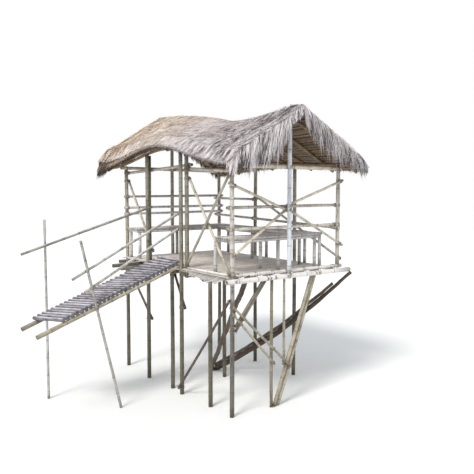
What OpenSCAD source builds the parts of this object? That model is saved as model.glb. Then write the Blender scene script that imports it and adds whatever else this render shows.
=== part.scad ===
// Open stilt house of lashed bamboo poles, thatched, with a pole ramp.
// Origin on the ground under the middle of the floor, front gable at -Y, ramp at -X.

/* [Plan] */
// Width between the side post lines
width = 2500; // [2200:10:3000]
// Length between the front and back post lines
length = 3950; // [3700:10:4400]
// Height of the floor above the ground
floor_z = 2430; // [2100:10:2800]
// Entry post beside the front bay, from the front post line
entry_front = 1560; // [1500:10:1650]
// Width of the entry between its outer posts
entry_w = 1290; // [1200:10:1400]

/* [Poles] */
// Diameter of the posts
post_d = 80; // [70:1:88]
// Diameter of the heavy edge beam under the floor
beam_d = 90; // [80:1:100]
// Diameter of the cross bearers under the floor
bearer_d = 80; // [70:1:88]
// Diameter of the tie beams
tie_d = 75; // [65:1:85]
// Diameter of the joists
joist_d = 50; // [44:1:56]
// Diameter of the wall rails
rail_d = 54; // [45:1:56]
// Diameter of the braces
brace_d = 50; // [40:1:56]
// Gap left where one pole lies against another
seat = 0.3; // [0.2:0.1:0.5]

/* [Floor] */
// Thickness of the split bamboo floor
slat_t = 18; // [14:1:24]
// Width of a floor slat
slat_w = 90; // [70:1:120]
// Gap between floor slats
slat_gap = 6; // [4:1:10]
// How far the ragged floor ends reach past the left posts at the front
ragged_reach = 400; // [200:10:450]
// Diameter of the pole lying on the front edge of the floor
edge_d = 70; // [60:1:76]
// Reach of the front beam past the right posts
beam_reach = 250; // [150:10:300]
// Reach of the front beam past the left post
beam_left = 175; // [100:5:200]
// How much the ragged floor ends droop for each unit they reach out
ragged_droop = 0.28; // [0.1:0.02:0.34]

/* [Roof] */
// Thatch top above the floor at the front of the ridge
ridge_front = 2940; // [2870:10:3070]
// Thatch top above the floor at the sag of the ridge
ridge_sag = 2820; // [2770:10:2870]
// Thatch top above the floor at the back of the ridge
ridge_back = 3130; // [2970:10:3220]
// Thatch top above the floor at the eave corners
eave_z = 1980; // [1930:10:2020]
// Rise of the left eave over the entry
eave_rise = 400; // [200:10:430]
// Rise of the right eave at its middle
right_rise = 90; // [0:10:150]
// Thatch top above the floor at the back of the left eave
eave_back = 2160; // [2070:10:2220]
// Overhang of the left eave past the post line
left_over = 300; // [250:10:400]
// Overhang of the right eave past the post line
right_over = 400; // [300:10:450]
// Overhang of the front gable
front_over = 400; // [300:10:450]
// Overhang of the back gable
back_over = 650; // [500:10:700]
// Upright thickness of the thatch from the front to the sag
thatch_t = 150; // [120:5:180]
// Upright thickness of the thatch at the back
thatch_back_t = 290; // [150:5:300]
// Diameter of the rafters
rafter_d = 60; // [50:1:66]
// Diameter of the ridge pole
ridge_d = 80; // [70:1:90]
// Diameter of the eave purlins
purlin_d = 60; // [50:1:66]
// Thickness of a batten
batten_t = 12; // [8:1:16]
// Width of a batten
batten_w = 45; // [35:1:60]

/* [Rails] */
// Height of the upper front rail above the floor
front_rail_high = 1180; // [1160:5:1190]
// Height of the lower front rail above the floor
front_rail_low = 810; // [790:5:815]
// Height of the upper right rail above the floor
right_rail_high = 1245; // [1240:1:1250]
// Height of the lower right rail above the floor
right_rail_low = 865; // [860:1:870]

/* [Benches] */
// Height of the seats above the floor
seat_z = 650; // [590:5:680]
// Diameter of a seat pole
seat_d = 55; // [45:1:60]
// Number of poles across a seat
seat_n = 7; // [5:1:7]
// Diameter of the bench legs
leg_d = 70; // [60:1:76]
// Depth of a seat from front to back
bench_w = 450; // [430:5:460]

/* [Ramp] */
// Fall of the ramp for each unit it runs out
ramp_fall = 0.358; // [0.3:0.002:0.4]
// Level run of the ramp from the post line
ramp_run = 2800; // [2400:10:3000]
// Diameter of the ramp stringers
stringer_d = 80; // [70:1:86]
// Diameter of the poles of the deck
deck_d = 70; // [60:1:76]
// Spacing of the deck poles along the slope
deck_pitch = 88; // [80:1:100]
// Skew of the deck poles
deck_skew = 15; // [0:1:17]
// Distance between the ramp stringers
deck_w = 760; // [700:10:820]
// Diameter of the handrails and standing sticks
hand_d = 50; // [40:1:56]

/* [Struts] */
// Diameter of the raking legs at the front
rake_d = 70; // [60:1:76]
// Diameter of the thin cross struts at the front
cross_d = 45; // [38:1:50]
// Diameter of the bowed log
log_d = 110; // [90:1:120]
// How far the log bows down between its ends
log_bow = 150; // [60:5:180]

/* [Hidden] */

$fn = 24;
hx = width / 2;
hy = length / 2;
post_r = post_d / 2;

// Colours
pale = [0.72, 0.67, 0.58];
olive = [0.55, 0.50, 0.33];
dark = [0.30, 0.23, 0.17];
straw = [0.60, 0.52, 0.44];
pink = [0.66, 0.54, 0.46];

// Distance between the axes of two poles that lie against each other
function touch(a, b) = (a + b) / 2 + seat;
function mix(a, b, t) = a + (b - a) * t;
function ease(t) = t * t * (3 - 2 * t);

// Levels of the floor, from its top down
joist_z = floor_z - slat_t - seat - joist_d / 2;
bearer_top = joist_z - joist_d / 2 - seat;
bearer_z = bearer_top - bearer_d / 2;
beam_z = floor_z - slat_t - seat - beam_d / 2;
edge_z = floor_z - slat_t + edge_d / 2;

// Front layer, from the posts outward
beam_y = -hy - touch(post_d, beam_d);
beam_back = beam_y + beam_d / 2 + seat;
mid_y = beam_y;
mid_x = -post_r;
edge_y = mid_y + touch(post_d, edge_d);
tie_y = mid_y + touch(post_d, tie_d);
back_bearer_y = hy + touch(post_d, bearer_d);
back_tie_y = back_bearer_y - touch(post_d, tie_d);

// Entry posts, in pairs
twin = 45;
ent_f = [-hx - twin, -hy + entry_front];
ent_b = [-hx - twin, ent_f.y + entry_w];
bearer_f_y = ent_f.y - touch(post_d, bearer_d);
bearer_b_y = ent_b.y + touch(post_d, bearer_d);
in_f = [-hx + twin, bearer_f_y + 15];
in_b = [-hx + twin, bearer_b_y - 10];
back_left = [-hx + twin, hy];
right_posts = [-hy + 1230, -hy + 2530];
// Legs that stand under the floor on the left
leg_k_y = -hy + 655;
leg_m_y = 0;

bearer_ys = [leg_k_y + touch(post_d, bearer_d), right_posts[0] + touch(post_d, bearer_d),
    bearer_f_y, leg_m_y - touch(post_d, bearer_d), right_posts[1] + touch(post_d, bearer_d),
    bearer_b_y, back_bearer_y];

// Roof surface: u runs from 0 at the ridge to 1 at the eave
roof_y0 = -hy - front_over;
roof_y1 = hy + back_over;
sag_in = 1600;
arch_in = 2200;
sag_y = -hy + sag_in;
arch_y = -hy + arch_in;
function ridge_h(y) = floor_z + (y < sag_y ? mix(ridge_front, ridge_sag, ease((y - roof_y0) / (sag_y - roof_y0)))
    : mix(ridge_sag, ridge_back, 1 - pow(1 - (y - sag_y) / (roof_y1 - sag_y), 2)));
pitch = (ridge_front - eave_z) / (hx + right_over);
function side_rise(s) = s < 0 ? eave_rise : right_rise;
function side_w(s) = hx + (s < 0 ? left_over : right_over);
function eave_0(s) = floor_z + ridge_front - pitch * side_w(s);
function eave_1(s) = floor_z + eave_back - pitch * (side_w(s) - side_w(-1));
function eave_h(y, s) = let (high = max(eave_0(s) + side_rise(s), s > 0 ? eave_1(s) : 0))
    y < arch_y ? mix(eave_0(s), high, ease((y - roof_y0) / (arch_y - roof_y0)))
    : mix(high, eave_1(s), ease((y - arch_y) / (roof_y1 - arch_y)));
function thick(y) = mix(thatch_t, thatch_back_t, ease(max(0, (y - sag_y) / (roof_y1 - sag_y))));
function top_z(s, u, y) = mix(ridge_h(y), eave_h(y, s), u);
function post_u(s) = hx / side_w(s);

// How much longer an upright measure is than one square to the underside
function under_z(s, u, y) = top_z(s, u, y) - thick(y);
function steep(s, u, y) = sqrt(1 + pow((ridge_h(y) - eave_h(y, s)) / side_w(s), 2)
    + pow((under_z(s, u, y + 5) - under_z(s, u, y - 5)) / 10, 2));
function rafter_drop(s, u, y) = thick(y) + batten_t + 2 * seat + (rafter_d / 2 + seat) * steep(s, u, y);
function rafter_z(s, u, y) = top_z(s, u, y) - rafter_drop(s, u, y);
function purlin_z(s, y) = rafter_z(s, post_u(s), y) - touch(rafter_d, purlin_d) * steep(s, post_u(s), y);
function ridge_pole_z(y) = min(rafter_z(-1, 0, y) - touch(rafter_d, ridge_d) * steep(-1, 0, y),
    rafter_z(1, 0, y) - touch(rafter_d, ridge_d) * steep(1, 0, y));

// Tie beams lie under the purlins, and the corner posts stand under the tie beams
function tie_z(s, y) = purlin_z(s, y) - touch(purlin_d, tie_d);
function corner_top(s, y) = tie_z(s, y) - tie_d / 2 - seat;
function side_top(s, y) = purlin_z(s, y) - purlin_d / 2 - seat;
function ridge_top(y) = ridge_pole_z(y) - ridge_d / 2 - seat;

// Round pole between two points
module pole(a, b, d) {
    v = b - a;
    translate(a) rotate([0, acos(v.z / norm(v)), atan2(v.y, v.x)]) cylinder(d = d, h = norm(v));
}

// Upright post
module post(p, z0, z1, d = post_d) {
    translate([p.x, p.y, z0]) cylinder(d = d, h = z1 - z0);
}

// Pole that stands on the ground, cut level at its foot
module grounded() {
    intersection() {
        children();
        translate([-2 * length, -2 * length, 0]) cube([4 * length, 4 * length, 3 * floor_z]);
    }
}

// Bent pole through a list of points, none of them straight above the last
module bent_pole(pts, d, sides = 12) {
    n = len(pts);
    rings = [for (i = [0:n - 1])
        let (along = pts[min(i + 1, n - 1)] - pts[max(i - 1, 0)], side = cross(along, [0, 0, 1]),
            across = side / norm(side), up = cross(across, along) / norm(along))
        for (k = [0:sides - 1]) pts[i] + d / 2 * (cos(360 * k / sides) * across + sin(360 * k / sides) * up)];
    body = [for (i = [0:n - 2]) for (k = [0:sides - 1])
        let (a = i * sides + k, b = i * sides + (k + 1) % sides, c = a + sides, e = b + sides)
        each [[a, b, e], [a, e, c]]];
    ends = [[for (k = [sides - 1:-1:0]) k], [for (k = [0:sides - 1]) (n - 1) * sides + k]];
    polyhedron(rings, concat(body, ends));
}

// Sheet lofted over rows of points along Y, with an upright thickness for each row and a share of it for each line
module slab_loft(rows, ts, shares = []) {
    n = len(rows);
    m = len(rows[0]);
    tops = [for (r = rows) for (p = r) p];
    unders = [for (i = [0:n - 1]) for (k = [0:m - 1]) rows[i][k] - [0, 0, ts[i] * (len(shares) > 0 ? shares[k] : 1)]];
    o = n * m;
    skin = [for (i = [0:n - 2]) for (k = [0:m - 2]) let (a = i * m + k, b = a + 1, c = a + m, d = c + 1)
        each [[a, c, b], [b, c, d], [o + a, o + b, o + c], [o + b, o + d, o + c]]];
    sides = [for (i = [0:n - 2]) let (a = i * m, b = a + m, c = a + m - 1, d = c + m)
        each [[a, o + b, b], [a, o + a, o + b], [c, d, o + d], [c, o + d, o + c]]];
    ends = [for (k = [0:m - 2]) let (a = k, c = (n - 1) * m + k)
        each [[a, a + 1, o + a + 1], [a, o + a + 1, o + a], [c, o + c + 1, c + 1], [c, o + c, o + c + 1]]];
    polyhedron(concat(tops, unders), concat(skin, sides, ends));
}

// Roof stations along Y, and grid lines from ridge to eave
bays = 24;
courses = 8;
// Share of the thatch thickness left at the rounded eave, and where the last batten and the rafter ends lie
eave_share = 0.35;
eave_batten = 0.97;
rafter_end = 0.98;
function bay_y(i) = mix(roof_y0, roof_y1, i / bays);
function roof_pt(s, u, y, drop) = [s * side_w(s) * u, y, top_z(s, u, y) - drop];

module thatch(s) {
    us = s < 0 ? [courses:-1:0] : [0:courses];
    rows = [for (i = [0:bays]) [for (k = us)
        roof_pt(s, k / courses, bay_y(i), k == courses ? (1 - eave_share) * thick(bay_y(i)) : 0)
            + [k == 0 ? s * seat / 2 : 0, 0, 0]]];
    color(straw) slab_loft(rows, [for (i = [0:bays]) thick(bay_y(i))], [for (k = us) k == courses ? eave_share : 1]);
}

module thatch_left() { thatch(-1); }
module thatch_right() { thatch(1); }

// Bays that carry a rafter
rafter_bays = [1, 4, 7, 10, 13, 16, 19, 22];

module rafters(s) {
    shift = s < 0 ? 0 : rafter_d + seat;
    color(olive) for (i = rafter_bays) {
        y = bay_y(i) + shift;
        pole(roof_pt(s, 0, y, rafter_drop(s, 0, y)), roof_pt(s, rafter_end, y, rafter_drop(s, rafter_end, y)), rafter_d);
    }
}

module rafters_left() { rafters(-1); }
module rafters_right() { rafters(1); }

module battens(s) {
    half = batten_w / side_w(s) / 2;
    color(olive) for (u = [for (k = [1:courses - 1]) k / courses, eave_batten]) {
        us = s < 0 ? [u + half, u, u - half] : [u - half, u, u + half];
        rows = [for (i = [0:bays]) [for (v = us) roof_pt(s, v, bay_y(i), thick(bay_y(i)) + seat)]];
        slab_loft(rows, [for (i = [0:bays]) batten_t]);
    }
}

module battens_left() { battens(-1); }
module battens_right() { battens(1); }

module ridge_pole() {
    color(olive) bent_pole([for (i = [0.5:1:bays - 0.5]) [0, bay_y(i), ridge_pole_z(bay_y(i))]], ridge_d);
}

module eave_purlin(s) {
    color(olive) bent_pole([for (i = [0.5:1:bays - 0.5]) [s * hx, bay_y(i), purlin_z(s, bay_y(i))]], purlin_d);
}

module eave_purlin_left() { eave_purlin(-1); }
module eave_purlin_right() { eave_purlin(1); }

// Pole across the hut under both purlins, reaching past them
module tie_beam(y) {
    a = [-hx, y, tie_z(-1, y)];
    b = [hx, y, tie_z(1, y)];
    past = (b - a) / norm(b - a) * 80;
    color(pale) pole(a - past, b + past, tie_d);
}

module tie_beam_front() { tie_beam(tie_y); }
module tie_beam_back() { tie_beam(back_tie_y); }

// Level of the straight beams inside the left posts
left_beam_front = 1798;
left_beam_entry = 1868;
left_beam_rear = [1940, 1815];

module left_wall_beams() {
    d = purlin_d;
    a = [-hx + touch(post_d, d), -hy - 90, floor_z + left_beam_front];
    b = [in_f.x + touch(post_d, d), in_f.y + 70, floor_z + left_beam_entry];
    color(pale) pole(a, b, d);
    c = [in_f.x + touch(post_d, d), in_f.y - 80, floor_z + left_beam_rear[0]];
    e = [in_f.x + touch(post_d, d), hy + 120, floor_z + left_beam_rear[1]];
    color(olive) pole(c, e, d);
}

module post_front_left() { color(pale) post([-hx, -hy], 0, corner_top(-1, tie_y)); }
module post_front_middle() { color(pale) post([mid_x, mid_y], beam_z + beam_d / 2 + seat, ridge_top(mid_y)); }
module post_front_right() { color(pale) post([hx, edge_y], edge_z + edge_d / 2 + seat, corner_top(1, tie_y)); }

module entry_posts(outer, inner) {
    color(olive) {
        post(outer, 0, side_top(-1, outer.y));
        post(inner, bearer_top, side_top(-1, inner.y));
    }
}

module entry_posts_front() { entry_posts(ent_f, in_f); }
module entry_posts_back() { entry_posts(ent_b, in_b); }

module post_back_left() { color(olive) post(back_left, 0, corner_top(-1, back_tie_y)); }
module post_back_middle() { color(olive) post([0, back_bearer_y], bearer_top, ridge_top(back_bearer_y)); }
module post_back_right() { color(olive) post([hx, hy], 0, corner_top(1, back_tie_y)); }

module posts_right_side() {
    color(olive) for (y = right_posts) post([hx, y], 0, side_top(1, y));
}

module front_rails() {
    off = touch(post_d, rail_d);
    color(pale) for (z = [front_rail_high, front_rail_low])
        pole([-hx - 60, -hy + off, floor_z + z], [hx + 60, edge_y + off, floor_z + z], rail_d);
}

function level(v, z) = [v.x, v.y, floor_z + z];

// Half braces in front of the corner posts and behind the middle post: levels at the corner and at their inner ends
left_half_high = [1597, 1117];
left_half_low = 375;
right_half_high = [1650, 1200];
right_half_low = [415, 1135];
half_tip = 15;
half_low_tip = 60;

module front_braces() {
    r = brace_d / 2;
    a = [-hx - 110, -hy - touch(post_d, brace_d)];
    b = [mid_x - half_tip, mid_y + touch(post_d, brace_d)];
    // The lower left brace ends under the upper one
    x = b.x - half_low_tip;
    fall = atan((left_half_high[0] - left_half_high[1]) / (b.x - a.x));
    over = mix(left_half_high[1], left_half_high[0], half_low_tip / (b.x - a.x));
    rise = atan((over - left_half_low) / (x - a.x));
    under = over - (r + seat) / cos(fall) - r * cos(rise) + r * sin(rise) * tan(fall);
    start = mix(a, b, 0.07);
    c = [hx + 60, edge_y - touch(post_d, brace_d)];
    d = [mid_x + half_tip, b.y];
    color(pale) {
        pole(level(a, left_half_high[0]), level(b, left_half_high[1]), brace_d);
        pole(level(start, left_half_low), level(mix(b, a, half_low_tip / (b.x - a.x)), under), brace_d);
        pole(level(c, right_half_high[0]), level(d, right_half_high[1]), brace_d);
        pole(level(c, right_half_low[0]), level(d, right_half_low[1]), brace_d);
    }
}

// Line in plan that touches two posts, each on its own side: 1 is the left of the way from p to q, -1 the right
function past(p, q, off, s, t) = let (d = norm(q - p), b = (q - p) / d, a = asin((t - s) * off / d),
    n = [-b.x * sin(a) - b.y * cos(a), b.x * cos(a) - b.y * sin(a)]) [p + s * off * n, q + t * off * n];

// Crossed pair in the bay beside the entry: one from outside the corner post's foot to the inner post's room side,
// one from outside its head to the foot of the inner post
cross_foot = 50;
cross_top = 1700;
cross_head = 1750;
cross_in = 40;
rear_brace = [190, 1670];

module left_braces() {
    off = touch(post_d, brace_d);
    reach = [0, 20];
    corner = [-hx, -hy];
    way = past(corner, in_f, off, 1, -1);
    foot = in_f - [cross_in, sqrt(pow(off - 3, 2) - cross_in * cross_in)];
    color(pale) {
        pole(level(way[0] - reach, cross_foot), level(way[1] + reach, cross_top), brace_d);
        pole(level(corner - [off, 20], cross_head), level(foot, cross_foot), brace_d);
    }
    color(olive) pole([in_b.x + off, in_b.y - 20, floor_z + rear_brace[0]],
        [back_left.x + off, hy + 20, floor_z + rear_brace[1]], brace_d);
}

// Levels of the brace outside the right posts, at its back and front ends
right_brace = [1295, 150];
rail_clear = 3;

module right_rails() {
    off = touch(post_d, rail_d);
    // The upper rail stops at the rear post, and the lower one falls to pass under the front rail
    back = hy + 90;
    cross = -hy + off;
    slope = (right_rail_low - front_rail_low + rail_d + rail_clear) / (back - cross);
    front = -hy - 60;
    color(pale) {
        pole([hx - off, right_posts[1] - 70, floor_z + right_rail_high], [hx - off, back, floor_z + right_rail_high], rail_d);
        pole([hx - off, front, floor_z + right_rail_low - slope * (back - front)], [hx - off, back, floor_z + right_rail_low], rail_d);
    }
    x = hx + touch(post_d, brace_d);
    color(pale) pole([x, right_posts[1] + 40, floor_z + right_brace[0]], [x, edge_y - 20, floor_z + right_brace[1]], brace_d);
}

back_rail_zs = [940, 1070, 1310];

module back_rails() {
    y = hy - touch(post_d, rail_d);
    color(olive) for (z = back_rail_zs)
        pole([-hx - 40, y, floor_z + z], [hx + 60, y, floor_z + z], rail_d);
}

// Straight ends of the floor slats on the left: ragged in front, short at the entry
function slat_left(y, i) = -hx + (y < ent_f.y - post_d ? -mix(ragged_reach, 20, pow((y + hy) / entry_front, 2)) + 35 * sin(i * 77)
    : y < ent_b.y + post_d ? -entry_slat : -60 + 20 * sin(i * 77));

// Side of a slat, which bends down past the short outer joist
droop_x = -hx - touch(post_d, joist_d) - 5 - joist_d / 2;

module slat_side(x0, x1) {
    drop = ragged_droop * max(0, droop_x - x0);
    bend = max(x0 + 1, droop_x);
    top = floor_z;
    low = floor_z - slat_t;
    polygon([[x0, low - drop], [bend, low], [x1, low], [x1, top], [bend, top], [x0, top - drop]]);
}

module floor_slats() {
    y0 = edge_y + edge_d / 2 + seat;
    y1 = hy + 30;
    n = floor((y1 - y0 + slat_gap) / (slat_w + slat_gap));
    x1 = hx - post_d / 2 - 5;
    holes = [[-hx, -hy], ent_f, in_f, ent_b, in_b, back_left];
    color(pink) difference() {
        for (i = [0:n - 1]) {
            y = y0 + i * (slat_w + slat_gap);
            x0 = slat_left(y, i);
            translate([0, y + slat_w, 0]) rotate([90, 0, 0]) linear_extrude(slat_w) slat_side(x0, x1);
        }
        for (p = holes) post(p, floor_z - 2 * slat_t, floor_z + slat_t, post_d + 2 * seat);
    }
}

// Joists lie on the bearers, with a short one outside the left posts under the ragged ends
joist_bays = 6;
joist_xs = [for (i = [0:joist_bays]) mix(-hx + twin + touch(post_d, joist_d) + 10, hx - 130, i / joist_bays)];

// Joists run to the back bearer; the middle one stops in front of the post there
module floor_joists() {
    color(pale) {
        for (x = joist_xs) {
            end = x == joist_xs[joist_bays / 2] ? -post_r - 10 : 60;
            pole([x, beam_back, joist_z], [x, back_bearer_y + end, joist_z], joist_d);
        }
        x = -hx - touch(post_d, joist_d) - 5;
        pole([x, beam_back, joist_z], [x, ent_f.y - post_r - 10, joist_z], joist_d);
    }
}

// Reach of the cross bearers past the post lines: plain ends, ends cut short at the entry, and long ones by the ramp
bearer_out = 110;
bearer_short = 12;
bearer_right = 120;
bearer_long = [620, 560];
long_in = 3420;
long_y = -hy + long_in;

module bearer(y, left) { pole([-hx - left, y, bearer_z], [hx + bearer_right, y, bearer_z], bearer_d); }

module floor_bearers() {
    color(pale) {
        for (i = [0, 1, 2, 6]) bearer(bearer_ys[i], bearer_out);
        for (i = [3, 4]) bearer(bearer_ys[i], bearer_short);
        bearer(bearer_ys[5], bearer_long[0]);
        bearer(long_y, bearer_long[1]);
    }
}

module front_edge_beam() {
    color(pale) pole([-hx - beam_left, beam_y, beam_z], [hx + beam_reach, beam_y, beam_z], beam_d);
}

// Poles along the floor's edge: one in front, and a thinner one on the slats between the left posts
side_edge_d = 45;

module edge_poles() {
    z = floor_z + seat + side_edge_d / 2;
    color(pale) {
        pole([-hx + post_r + seat, edge_y, edge_z], [hx + 90, edge_y, edge_z], edge_d);
        pole([-hx, -hy + post_r + seat, z], [-hx - 18, in_f.y - 125, z], side_edge_d);
    }
}

// Bench along +X: seat poles on two ledgers and the cross pieces between them, with legs under the ledgers
module bench(l, fronts, backs) {
    seat_axis = floor_z + seat_z - seat_d / 2;
    ledger_z = seat_axis - touch(seat_d, joist_d);
    edges = [seat_d / 2, bench_w - seat_d / 2];
    for (k = [0:seat_n - 1]) {
        y = mix(edges[0], edges[1], k / (seat_n - 1));
        pole([0, y, seat_axis], [l, y, seat_axis], seat_d);
    }
    for (y = edges) pole([20, y, ledger_z], [l - 20, y, ledger_z], joist_d);
    for (x = fronts) {
        pole([x, edges[0] + joist_d / 2 + seat, ledger_z], [x, edges[1] - joist_d / 2 - seat, ledger_z], joist_d);
        post([x, edges[0]], floor_z + seat, ledger_z - joist_d / 2 - seat, leg_d);
    }
    for (x = backs) post([x, edges[1]], floor_z + seat, ledger_z - joist_d / 2 - seat, leg_d);
}

function spread(l, n) = [for (i = [0:n - 1]) mix(60, l - 60, i / (n - 1))];

bench_y = -hy + 265;
bench_side_x = hx - 50 - bench_w;
bench_back_y = hy - 125 - bench_w;
front_seat_x = -hx + 105;
front_seat_l = width - 245;
front_legs = [125, front_seat_l / 2 + 30, front_seat_l - 174, front_seat_l - 40];
front_back_legs = [30, front_seat_l / 2 - 64, front_seat_l - 210];

module bench_front() {
    color(pale) translate([front_seat_x, bench_y, 0]) bench(front_seat_l, front_legs, front_back_legs);
}

module bench_right() {
    y0 = bench_y + bench_w + 50;
    l = bench_back_y - 50 - y0;
    color(pale) translate([bench_side_x + bench_w, y0, 0]) rotate([0, 0, 90]) bench(l, spread(l, 3), spread(l, 3));
}

module bench_back() {
    l = width - 65;
    color(pale) translate([-hx + 5, bench_back_y, 0]) bench(l, spread(l, 3), spread(l, 3));
}

// Legs that only carry the floor on the left side
module left_legs() {
    color(olive) for (y = [leg_k_y, leg_m_y]) post([-hx, y], 0, bearer_top);
}

module centre_leg() { color(olive) post([0, leg_m_y], 0, bearer_top); }

// Raking pair at the front: the outer pole's axis runs from rake_x at the beam, beside a joist, to its foot
rake_x = joist_xs[5] - 66;
rake_foot = rake_x - 916;
rake_top = beam_z;
rake_lean = atan((rake_x - rake_foot) / rake_top);
function rake_at(z) = mix(rake_foot, rake_x, z / rake_top);
fan_z = floor_z - 1700;

module front_struts() {
    y = -hy - post_r + rake_d / 2;
    pair = touch(rake_d, rake_d) / cos(rake_lean);
    color(pale) grounded() for (dx = [0, -pair])
        pole([rake_foot + dx, y, 0] - 60 * [tan(rake_lean), 0, 1], [rake_x + dx, y, rake_top], rake_d);
    x = rake_at(fan_z) - pair - touch(rake_d, brace_d) / cos(rake_lean);
    color(pale) post([x, -hy - post_r + brace_d / 2], fan_z, bearer_top, brace_d);
    color(olive) post([prop_x, -hy - post_r + prop_d / 2], 0, bearer_top, prop_d);
}

prop_x = joist_xs[2];
prop_d = 60;
knee_x = prop_x - 110;
knee_fall = 1.25;
// Levels of the thin struts under the floor, at their left and right ends
thin_high = [487, 1725];
thin_low = [610, 1630];

// Thin struts across the front of the legs, and a pair of knee braces behind them
module cross_struts() {
    y = -hy - touch(post_d, cross_d);
    color(pale) {
        pole([-hx - 30, y, floor_z - thin_high[0]], [rake_at(fan_z) - 30, y, floor_z - thin_high[1]], cross_d);
        pole([-hx - 30, y, floor_z - thin_low[0]], [prop_x + 25, y, floor_z - thin_low[1]], cross_d);
    }
    lean = atan(knee_fall);
    x_end = -hx + post_d / 2 + seat + brace_d / 2 * sin(lean);
    ky = -hy - post_r + brace_d / 2;
    color(olive) for (x = [knee_x, knee_x - touch(brace_d, brace_d) / sin(lean)])
        pole([x_end, ky, beam_z - knee_fall * (x - x_end)], [x, ky, beam_z], brace_d);
}

// Bowed log from the ground behind the middle to the front right corner
log_foot = [rake_foot + 371, 573];
log_x = hx + 200;
log_run = log_foot.y - beam_y;
function log_under(rise) = beam_z - touch(log_d, beam_d) * sqrt(1 + pow((rise + PI * log_bow) / log_run, 2));
log_rise = log_under(log_under(log_under(beam_z)));
function log_pt(t) = [mix(log_foot.x, log_x, t), mix(log_foot.y, beam_y, t), mix(0, log_rise, t) - log_bow * sin(180 * t)];
function log_up(t) = let (along = log_pt(t + 0.01) - log_pt(t - 0.01), side = cross(along, [0, 0, 1]),
    up = cross(side, along)) up / norm(up);

module bowed_log() {
    color(dark) grounded() bent_pole([for (t = [-0.05:0.1:1.05]) log_pt(t)], log_d, 24);
}

// One pole lies on the log, and one leans from beside its foot to the back of the front beam
lean_foot = 100;
lean_head = 300;

module under_poles() {
    on_log = [for (t = [0.02:0.1:0.92]) log_pt(t) + touch(log_d, prop_d) * log_up(t)];
    color(dark) grounded() bent_pole(on_log, prop_d);
    foot = [log_foot.x - lean_foot, log_foot.y, 0];
    out = [0, beam_z, log_run] / norm([beam_z, log_run]);
    head = [-hx + lean_head, beam_y, beam_z] + touch(beam_d, prop_d) * out;
    color(pale) grounded() pole(foot - (head - foot) * 0.02, head + (head - foot) * 0.004, prop_d);
}

// Braces between the legs of the left side: depths of their ends under the floor
strut_front = 385;
strut_foot = 120;
strut_back = [1200, 300];
strut_mid = [780, 140];

module left_struts() {
    off = touch(post_d, brace_d);
    color(dark) {
        pole([-hx - off, -hy - 20, floor_z - strut_front], [ent_f.x - off, ent_f.y + 20, strut_foot], brace_d);
        pole([ent_b.x + off, ent_b.y - 40, floor_z - strut_back[0]], [back_left.x + off, hy + 30, floor_z - strut_back[1]], brace_d);
        pole([ent_f.x + off, ent_f.y - 30, floor_z - strut_mid[0]], [-hx + off, leg_m_y + 20, floor_z - strut_mid[1]], brace_d);
    }
}

// Ramp plane: the stringers rest on the edge of the floor at the entry
entry_slat = 15;
ramp_cos = cos(atan(ramp_fall));
ramp_x = -hx - entry_slat;
ramp_seat = (stringer_d / 2 + seat) / ramp_cos;
function ramp_z(x) = floor_z + ramp_seat + ramp_fall * (x - ramp_x);
near_y = ent_f.y + touch(post_d, stringer_d);
far_y = near_y + deck_w;
ramp_end = -hx - ramp_run;
ramp_top = -hx + 40;

module ramp_stringers() {
    color(pale) for (y = [near_y, far_y])
        pole([ramp_end, y, ramp_z(ramp_end)], [ramp_top, y, ramp_z(ramp_top)], stringer_d);
}

// Deck poles lie on the stringers, square at the top and more skewed further down
deck_near = 30;
deck_far = 55;
deck_first = ramp_top - deck_d;
skew_step = 1.5;
deck_tail = 120;

module ramp_deck() {
    lift = touch(deck_d, stringer_d) / ramp_cos;
    n = floor((deck_first - ramp_end - deck_tail - deck_w * tan(deck_skew)) / (deck_pitch * ramp_cos));
    color(pale) for (k = [0:n - 1]) {
        x = deck_first - k * deck_pitch * ramp_cos;
        slant = tan(min(deck_skew, skew_step * k)) * ramp_cos;
        a = [x + slant * deck_near, near_y - deck_near];
        b = [x - slant * (deck_w + deck_far), far_y + deck_far];
        pole([a.x, a.y, ramp_z(a.x) + lift], [b.x, b.y, ramp_z(b.x) + lift], deck_d);
    }
}

// Handrails of the ramp: level at the post line, fall and run
near_rail_y = ent_f.y + touch(post_d, hand_d);
far_rail_y = ent_b.y - touch(post_d, hand_d);
near_high = [1059, 0.507, 2170];
near_low = [775, 0.541, 1950];
far_high = [1115, 0.3, 2650];

module hand_rail(y, r) {
    pole([-hx - r[2], y, floor_z + r[0] - r[1] * r[2]], [-hx + 20, y, floor_z + r[0] + r[1] * 20], hand_d);
}

module ramp_rails() {
    color(pale) {
        hand_rail(near_rail_y, near_high);
        hand_rail(near_rail_y, near_low);
        hand_rail(far_rail_y, far_high);
    }
}

// A leaning stick carries the near stringer and handrails, and an upright one carries the far handrail
stick_up = 620;
lean_stick = [1300, 2028];
far_stick = 2190;
stick_past = 470;

module ramp_sticks() {
    y0 = near_y - touch(stringer_d, hand_d);
    y1 = far_rail_y + touch(hand_d, hand_d);
    color(pale) {
        grounded() pole([-hx - lean_stick[0], y0, -90], [-hx - lean_stick[1], y0, floor_z + stick_up], hand_d);
        post([-hx - far_stick, y1], 0, floor_z + far_high[0] - far_high[1] * far_stick + stick_past, hand_d);
    }
}

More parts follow.
